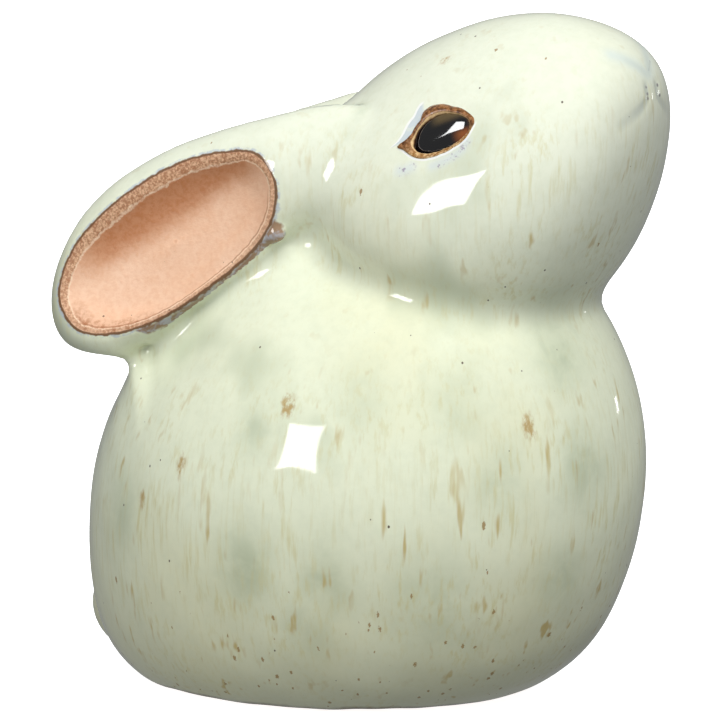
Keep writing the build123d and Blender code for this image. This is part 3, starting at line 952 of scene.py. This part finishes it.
def glaze_material():
    m = Nodes("celadon_glaze")
    z = m.node("ShaderNodeSeparateXYZ", {0: m.co}).outputs[2]
    low = m.range(z, 0.004, 0.036, 1.0, 0.0)
    # colour: pale celadon, warmer here and there, with soft grey-green clouds
    warm = m.range(m.noise(34, 3, 0.5, m.scale(1, 1, 0.5, (3, 1, 2))), 0.48, 0.72)
    col = m.mix(m.math("MULTIPLY", warm, 0.5), srgb(239, 244, 217), srgb(234, 233, 195))
    # paler and less green towards the top: painted light where the light falls
    col = m.mix(m.range(z, 0.075, 0.125, 0.0, 0.75), col, srgb(240, 244, 226))
    wisp = m.range(m.noise(120, 4, 0.6, distort=0.4), 0.3, 0.7)
    cloud = m.math("MULTIPLY", m.attr("cloud"), m.range(wisp, 0, 1, 0.45, 1.0, smooth=False))
    cloud = m.math("MAXIMUM", m.math("MULTIPLY", cloud, 0.8),
                   m.math("MULTIPLY", m.range(m.noise(46, 2, 0.5, m.scale(1, 1, 0.8, (1, 4, 2))), 0.58, 0.76), 0.45))
    col = m.mix(cloud, col, srgb(170, 183, 152))
    # darker and browner towards the bottom: partly thicker glaze, partly painted shade
    col = m.mix(m.math("MULTIPLY", m.range(z, 0.0, 0.055, 1.0, 0.0), 0.5), col, srgb(206, 203, 164))
    fine = m.range(m.noise(420, 4, 0.65), 0.35, 0.75)
    col = m.mix(m.math("MULTIPLY", fine, 0.17), col, srgb(206, 214, 186))
    # painted shade on the outer ear tip
    col = m.mix(m.math("MULTIPLY", m.attr("ear_tip"), 0.7), col, srgb(160, 166, 148))
    # darker and greener in the folds: partly pooled glaze, partly painted shade
    fold = m.math("MAXIMUM", m.attr("ear_crease"), m.math("MULTIPLY", m.attr("neck_crease"), 0.25))
    col = m.mix(m.math("MULTIPLY", fold, 0.7), col, srgb(186, 198, 172))
    # nose and mouth: a bluish nostril tint, and painted shade along the mouth grooves
    col = m.mix(m.math("MULTIPLY", m.attr("nostril"), 0.55), col, srgb(214, 228, 226))
    # painted shade: darker grey along the mouth grooves
    col = m.mix(m.math("MULTIPLY", m.range(m.attr("groove"), 0.25, 1.0), 0.6), col, srgb(186, 194, 186))
    # runs of iron rust, drawn down by the glaze: fine threads, wider runs, then single flecks
    flat = m.range(m.attr("tilt"), 0.15, 0.6, 1.0, 0.2)
    thread = m.range(m.noise(950, 3, 0.6, m.scale(1, 1, 0.11)), 0.47, 0.72)
    thread = m.math("MULTIPLY", thread, flat)
    where = m.range(m.noise(75, 3, 0.5, m.scale(1, 1, 0.7, (2, 6, 1))), 0.38, 0.66)
    thread = m.math("MULTIPLY", thread, m.math("ADD", m.math("MULTIPLY", where, 0.4), 0.16))
    col = m.mix(thread, col, srgb(210, 202, 142))
    runs = m.noise(400, 2, 0.5, m.scale(1, 1, 0.17, (0, 3, 5)))
    patch = m.range(m.noise(70, 2, 0.5, m.scale(1, 1, 0.6, (5, 2, 0))), 0.40, 0.60)
    run = m.math("MULTIPLY", m.range(runs, 0.61, 0.74), m.math("ADD", patch, 0.2, clamp=True))
    run = m.math("MULTIPLY", run, flat)
    col = m.mix(m.math("MULTIPLY", run, 0.75), col, srgb(192, 166, 90))
    mark = m.range(m.math("MULTIPLY", m.attr("rust"), m.range(m.noise(900, 3, 0.7, m.scale(1, 1, 0.4)), 0.3, 0.7, 0.3, 1.2)),
                   0.15, 0.75)
    col = m.mix(m.math("MULTIPLY", mark, 0.8), col, srgb(182, 146, 78))
    fleck = m.specks(5.0, 0.5, 0.14, 0.40, 3.0, 2.8, 1.8)
    fleck2 = m.specks(2.2, m.math("MULTIPLY", low, 0.75), 0.16, 0.44, 9.0, 2.2, 2.0)
    col = m.mix(m.math("MULTIPLY", m.math("MAXIMUM", fleck, fleck2), 0.8), col, srgb(158, 122, 60))
    # pinholes
    pin = m.specks(3.5, 0.28, 0.10, 0.26, 0.0, 1.3)
    pin2 = m.specks(3.2, m.math("MULTIPLY", low, 0.35), 0.08, 0.22, 7.0, 1.4)
    dots = m.math("MAXIMUM", pin, pin2)
    col = m.mix(m.math("MULTIPLY", dots, 0.9), col, srgb(72, 52, 30))
    # the edge of the ear bowl: a thin brown line, a broken bluish fringe, and runs under the lower lip, partly pooled
    # glaze and partly painted shade of the overhanging lip
    lip = m.attr("lip")
    rag = m.noise(520, 3, 0.6)
    edge = m.math("ADD", lip, m.math("MULTIPLY", m.math("SUBTRACT", rag, 0.5), 0.9))
    fringe = m.math("MULTIPLY", m.range(edge, 0.0, 0.15), m.range(edge, 0.40, 0.85, 1.0, 0.0))
    fringe = m.math("MULTIPLY", fringe, m.range(m.noise(800, 2, 0.6), 0.38, 0.6))
    col = m.mix(m.math("MULTIPLY", fringe, 0.6), col, srgb(180, 190, 210))
    # under the lower lip: pooled glaze with painted shade
    under = m.math("ADD", m.attr("under"), m.math("MULTIPLY", m.math("SUBTRACT", rag, 0.5), 0.9))
    under = m.math("MULTIPLY", m.range(under, 0.0, 0.5), m.range(lip, 0.0, 0.4))
    pool_and_shade = m.mix(m.range(m.noise(330, 3, 0.6), 0.47, 0.64), srgb(146, 108, 76), srgb(176, 174, 184))
    col = m.mix(m.math("MULTIPLY", under, 0.9), col, pool_and_shade)
    line = m.range(edge, 0.0, 0.3, 1.0, 0.0)
    col = m.mix(m.math("MULTIPLY", line, 0.92), col, srgb(112, 66, 30))
    # round the eyes: a white line that is a painted highlight on the raised glaze edge, a bluish wedge behind, and
    # purple smears below
    ed, eu, ev = m.attr("eye_d"), m.attr("eye_u"), m.attr("eye_v")
    rear = m.math("MULTIPLY", m.range(eu, -2.6, -3.6), m.range(ev, 0.2, 0.9))
    below = m.range(ev, -0.2, -1.4)
    wedge = m.math("MULTIPLY", m.math("MULTIPLY", rear, m.range(ed, 1.7, 2.0, 1.0, 0.0)), m.range(m.noise(600, 3), 0.25, 0.5, 0.5, 1.0))
    col = m.mix(m.math("MULTIPLY", wedge, 0.9), col, srgb(206, 216, 222))
    # painted highlight: the white line along the glaze edge behind and below the eye
    white = m.math("ADD", m.math("MULTIPLY", rear, m.math("MULTIPLY", m.range(ed, 1.7, 1.9), m.range(ed, 2.2, 2.5, 1.0, 0.0))),
                   m.math("MULTIPLY", below, m.math("MULTIPLY", m.range(ed, 0.02, 0.12), m.range(ed, 0.35, 0.65, 1.0, 0.0))), clamp=True)
    col = m.mix(m.math("MULTIPLY", white, 0.85), col, srgb(252, 252, 250))
    smear = m.attr("eye_smear")
    col = m.mix(m.math("MULTIPLY", smear, 0.5), col, srgb(216, 226, 234))
    grit = m.math("MULTIPLY", m.range(m.noise(700, 3, 0.7), 0.55, 0.66), m.range(smear, 0.2, 0.8))
    col = m.mix(m.math("MULTIPLY", grit, 0.75), col, srgb(150, 132, 160))
    col = m.mix(m.math("MULTIPLY", m.range(m.attr("face_dots"), 0.25, 0.8), 0.75), col, srgb(78, 60, 92))
    # thin dark brown at the foot line: the bare clay edge, made darker as painted shade along the base
    ft = m.attr("foot")
    base = m.range(m.math("ADD", ft, m.math("MULTIPLY", m.noise(300, 3), 1.2)), 0.5, 1.7, 1.0, 0.0)
    col = m.mix(m.math("MULTIPLY", base, 0.9), col, srgb(92, 64, 38))
    rough = m.range(m.noise(150, 4, 0.6), 0.3, 0.75, 0.05, 0.10)
    rough = m.math("ADD", rough, m.math("MULTIPLY", dots, 0.25))
    skin = m.math("MULTIPLY", m.noise(240, 2, 0.5), 0.2)
    skin = m.math("ADD", skin, m.math("MULTIPLY", m.noise(60, 2, 0.5), 1.0))
    nor = m.bump(skin, 0.10, 0.0006)
    nor = m.bump(m.math("MULTIPLY", dots, -1.0), 0.5, 0.0001, nor)
    m.set(Base_Color=col, Roughness=rough, Normal=nor)
    m.bsdf.inputs["IOR"].default_value = 1.5
    return m.mat


def slip_material():
    m = Nodes("ear_slip")
    lip, bev, x, y = m.attr("lip"), m.attr("bevel"), m.attr("bowl_x"), m.attr("bowl_y")
    patch = m.range(m.noise(55, 4, 0.6), 0.35, 0.7)
    col = m.mix(patch, srgb(250, 209, 178), srgb(243, 195, 160))
    grain = m.range(m.noise(900, 4, 0.7), 0.3, 0.75)
    col = m.mix(m.math("MULTIPLY", grain, 0.45), col, srgb(230, 172, 132))
    # browner in the upper part of the bowl
    edge = m.math("ADD", y, m.math("MULTIPLY", m.math("SUBTRACT", m.noise(110, 4, 0.6), 0.5), 0.16))
    ends = m.math("MULTIPLY", m.range(x, 0.98, 0.45, 0.0, 1.0), m.range(x, -1.04, -0.72, 0.35, 1.0))
    upper_brown = m.math("MULTIPLY", m.range(edge, 0.04, 0.50), ends)
    upper_brown = m.math("MULTIPLY", upper_brown, m.range(grain, 0, 1, 0.82, 1.0))
    upper_brown = m.math("MULTIPLY", upper_brown, m.range(bev, -1.15, -0.9, 1.0, 0.3))
    col = m.mix(upper_brown, col, srgb(198, 130, 84))
    # browner in the lower corner of the outer end
    rim = m.math("MULTIPLY", m.range(bev, -3.2, -1.2), m.math("MULTIPLY", m.range(x, 0.1, 0.5), m.range(y, 0.1, -0.4)))
    col = m.mix(m.math("MULTIPLY", rim, m.range(grain, 0.2, 0.8, 0.25, 0.75)), col, srgb(170, 108, 68))
    # speckled bevel with a bright inner line
    inb = m.range(bev, -1.02, -0.9)
    dust = m.noise(1900, 2, 0.6)
    speck = m.mix(m.range(dust, 0.36, 0.68), srgb(166, 108, 68), srgb(232, 190, 152))
    col = m.mix(m.math("MULTIPLY", inb, m.range(y, -0.6, 0.5, 0.55, 0.85)), col, speck)
    rag = m.math("ADD", bev, m.math("MULTIPLY", m.math("SUBTRACT", m.noise(600, 3), 0.5), 0.5))
    bright = m.math("MULTIPLY", m.range(rag, -1.13, -1.05), m.range(rag, -0.98, -0.90, 1.0, 0.0))
    col = m.mix(m.math("MULTIPLY", bright, m.range(dust, 0.36, 0.56, 0.2, 0.75)), col, srgb(252, 226, 196))
    thin = m.math("MULTIPLY", m.range(rag, -1.5, -1.32), m.range(rag, -1.24, -1.14, 1.0, 0.0))
    thin = m.math("MULTIPLY", thin, m.range(y, 0.0, -0.5))
    col = m.mix(m.math("MULTIPLY", thin, 0.6), col, srgb(160, 98, 58))
    line = m.range(m.math("ADD", lip, m.math("MULTIPLY", m.noise(520, 3), 0.5)), -0.25, 0.0)
    col = m.mix(m.math("MULTIPLY", line, 0.95), col, srgb(112, 62, 26))
    dots = m.math("MAXIMUM", m.specks(2.8, 0.5, 0.08, 0.20, 1.0), m.specks(8.0, 0.5, 0.16, 0.30, 4.0))
    col = m.mix(m.math("MULTIPLY", dots, 0.8), col, srgb(92, 62, 44))
    rough = m.range(grain, 0, 1, 0.52, 0.68)
    nor = m.bump(m.math("ADD", grain, m.math("MULTIPLY", dots, -1.0)), 0.4, 0.00012)
    m.set(Base_Color=col, Roughness=rough, Normal=nor)
    return m.mat


def clay_material(name, light, dark):
    m = Nodes(name)
    col = m.mix(m.range(m.noise(90, 5, 0.6), 0.3, 0.7), srgb(*light), srgb(*dark))
    grog = m.specks(1.8, 0.35, 0.12, 0.32, 2.0)
    col = m.mix(m.math("MULTIPLY", grog, 0.5), col, srgb(96, 62, 40))
    sand = m.noise(900, 4, 0.7)
    rough = m.range(sand, 0.3, 0.7, 0.72, 0.92)
    m.set(Base_Color=col, Roughness=rough, Normal=m.bump(sand, 0.4, 0.0002))
    return m.mat


def rim_material():
    m = Nodes("eye_rim_iron")
    k, up = m.attr("rim_k"), m.attr("rim_up")
    n = m.noise(1000, 4, 0.65)
    grit = m.range(m.noise(1500, 2, 0.6), 0.42, 0.62)
    col = m.mix(m.range(n, 0.35, 0.65), srgb(84, 50, 28), srgb(168, 116, 70))
    lower = m.range(up, 0.0, -0.45)
    col = m.mix(m.math("MULTIPLY", lower, 0.85), col, m.mix(grit, srgb(160, 114, 62), srgb(226, 192, 140)))
    gold = m.math("MULTIPLY", m.range(k, 0.02, 0.08), m.range(k, 0.13, 0.22, 1.0, 0.0))
    gold = m.math("MULTIPLY", gold, m.range(n, 0.3, 0.6, 0.5, 1.0))
    col = m.mix(gold, col, srgb(240, 206, 152))
    col = m.mix(m.range(k, 0.06, -0.02), col, srgb(44, 28, 20))
    m.set(Base_Color=col, Roughness=m.range(n, 0.3, 0.7, 0.16, 0.32), Normal=m.bump(n, 0.3, 0.00015))
    return m.mat


def ball_material():
    m = Nodes("eye_black_gloss")
    r, u, v = m.attr("ball_r"), m.attr("ball_u"), m.attr("ball_v")
    n = m.noise(380, 4, 0.6)
    wob = m.math("MULTIPLY", m.math("SUBTRACT", n, 0.5), 0.8)
    olive = m.math("MULTIPLY", m.range(m.math("ADD", v, wob), 0.6, 2.4), m.range(u, -2.4, 0.6))
    col = m.mix(olive, srgb(14, 12, 14), srgb(92, 76, 48))
    amber = m.math("MULTIPLY", m.range(m.math("ADD", v, wob), -0.4, -2.0), m.range(u, 1.6, 4.6))
    col = m.mix(amber, col, srgb(150, 84, 34))
    rim = m.range(m.math("ADD", r, m.math("MULTIPLY", wob, 0.2)), 0.92, 1.02)
    col = m.mix(m.math("MULTIPLY", rim, 0.6), col, srgb(74, 48, 28))
    m.set(Base_Color=col, Roughness=m.range(n, 0.3, 0.7, 0.02, 0.05), Normal=m.bump(m.noise(160, 2), 0.02, 0.0003))
    m.bsdf.inputs["IOR"].default_value = 1.75
    return m.mat


glaze, slip = glaze_material(), slip_material()
clay = clay_material("fired_clay", (196, 140, 96), (168, 112, 74))
lute = clay_material("joining_slip", (188, 150, 116), (164, 124, 92))
rim_mat, ball_mat = rim_material(), ball_material()


def wear(ob, mat):
    ob.data.materials.clear()
    ob.data.materials.append(mat)


wear(glaze_coat, glaze)
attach(glaze_coat, "root")
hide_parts("body_glaze", "right_ear_glaze", "left_ear_glaze", "tail_glaze")
for name, ob in panels.items():
    wear(ob, slip)
    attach(ob, "root")
    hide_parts(name.replace("_slip", ""))
for name, ob in rims.items():
    wear(ob, rim_mat)
    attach(ob, "root")
    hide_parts(name.replace("_lid", "_rim"))
for name, ob in balls.items():
    wear(ob, ball_mat)
    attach(ob, "root")
    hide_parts(name.replace("_eyeball", "_eye"))
for name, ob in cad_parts.items():
    if name in ("body_shell", "right_ear", "left_ear", "tail"):
        mat = clay
    elif name.endswith("_lute"):
        mat = lute
    else:
        continue
    for s in ob.material_slots:
        s.material = mat

# ------------------------------------------------------------------ stage
scene = bpy.context.scene
scene.view_settings.view_transform = "Standard"

n_seg = 96
fp = [(0, 0, 0)] + [(6 * math.cos(2 * math.pi * i / n_seg), 6 * math.sin(2 * math.pi * i / n_seg), 0)
                    for i in range(n_seg)]
me = bpy.data.meshes.new("floor")
me.from_pydata(fp, [], [(0, i + 1, (i + 1) % n_seg + 1) for i in range(n_seg)])
floor = bpy.data.objects.new("floor", me)
scene.collection.objects.link(floor)
fm = Nodes("floor_paper")
fm.set(Base_Color=fm.mix(fm.noise(3, 2), srgb(246, 246, 245), srgb(250, 250, 249)), Roughness=0.9)
floor.data.materials.append(fm.mat)
fm.bsdf.inputs["Emission Color"].default_value = (1, 1, 1, 1)
fm.bsdf.inputs["Emission Strength"].default_value = 0.95
floor.visible_diffuse = False
floor.visible_glossy = False

world = bpy.data.worlds.new("studio")
scene.world = world
world.use_nodes = True
bg = world.node_tree.nodes["Background"]
bg.inputs[0].default_value = (0.92, 0.95, 0.96, 1)
bg.inputs[1].default_value = 0.27


def area(name, az, el, dist, w, h, power, seen=True, lit=True):
    a, e = math.radians(az), math.radians(el)
    d = Vector((math.sin(a) * math.cos(e), -math.cos(a) * math.cos(e), math.sin(e)))
    li = bpy.data.lights.new(name, "AREA")
    li.shape = "RECTANGLE"
    li.size, li.size_y = w, h
    li.energy = power
    ob = bpy.data.objects.new(name, li)
    ob.location = Vector((0, 0, 0.075)) + d * dist
    ob.rotation_mode = "QUATERNION"
    ob.rotation_quaternion = d.to_track_quat("Z", "Y")
    ob.visible_glossy = seen
    ob.visible_diffuse = lit
    scene.collection.objects.link(ob)
    return ob


area("key_box", -16, 15.5, 1.6, 0.46, 0.48, 9, lit=False)
area("key_soft", -16, 15.5, 1.6, 0.46, 0.48, 5.2, seen=False)
area("front_fill", 40, 52, 1.6, 1.3, 1.2, 24.0, seen=False)
area("back_fill", 188, 22, 1.6, 1.2, 1.0, 8, seen=False)
area("side_strip", 146, 3, 1.3, 0.05, 0.06, 0.08, lit=False)

T = row((0.0, 0.0, 72.0))
b = np.array((0.41798, -0.89635, 0.14781))
cam = bpy.data.objects.new("camera", bpy.data.cameras.new("camera"))
cam.data.lens = 281.6
cam.data.sensor_width = 36.0
cam.data.clip_start, cam.data.clip_end = 0.05, 50
cam.location = Vector(T + 1.2 * b)
cam.rotation_mode = "QUATERNION"
cam.rotation_quaternion = Vector(b).to_track_quat("Z", "Y")
scene.collection.objects.link(cam)
scene.camera = cam

bpy.context.view_layer.update()
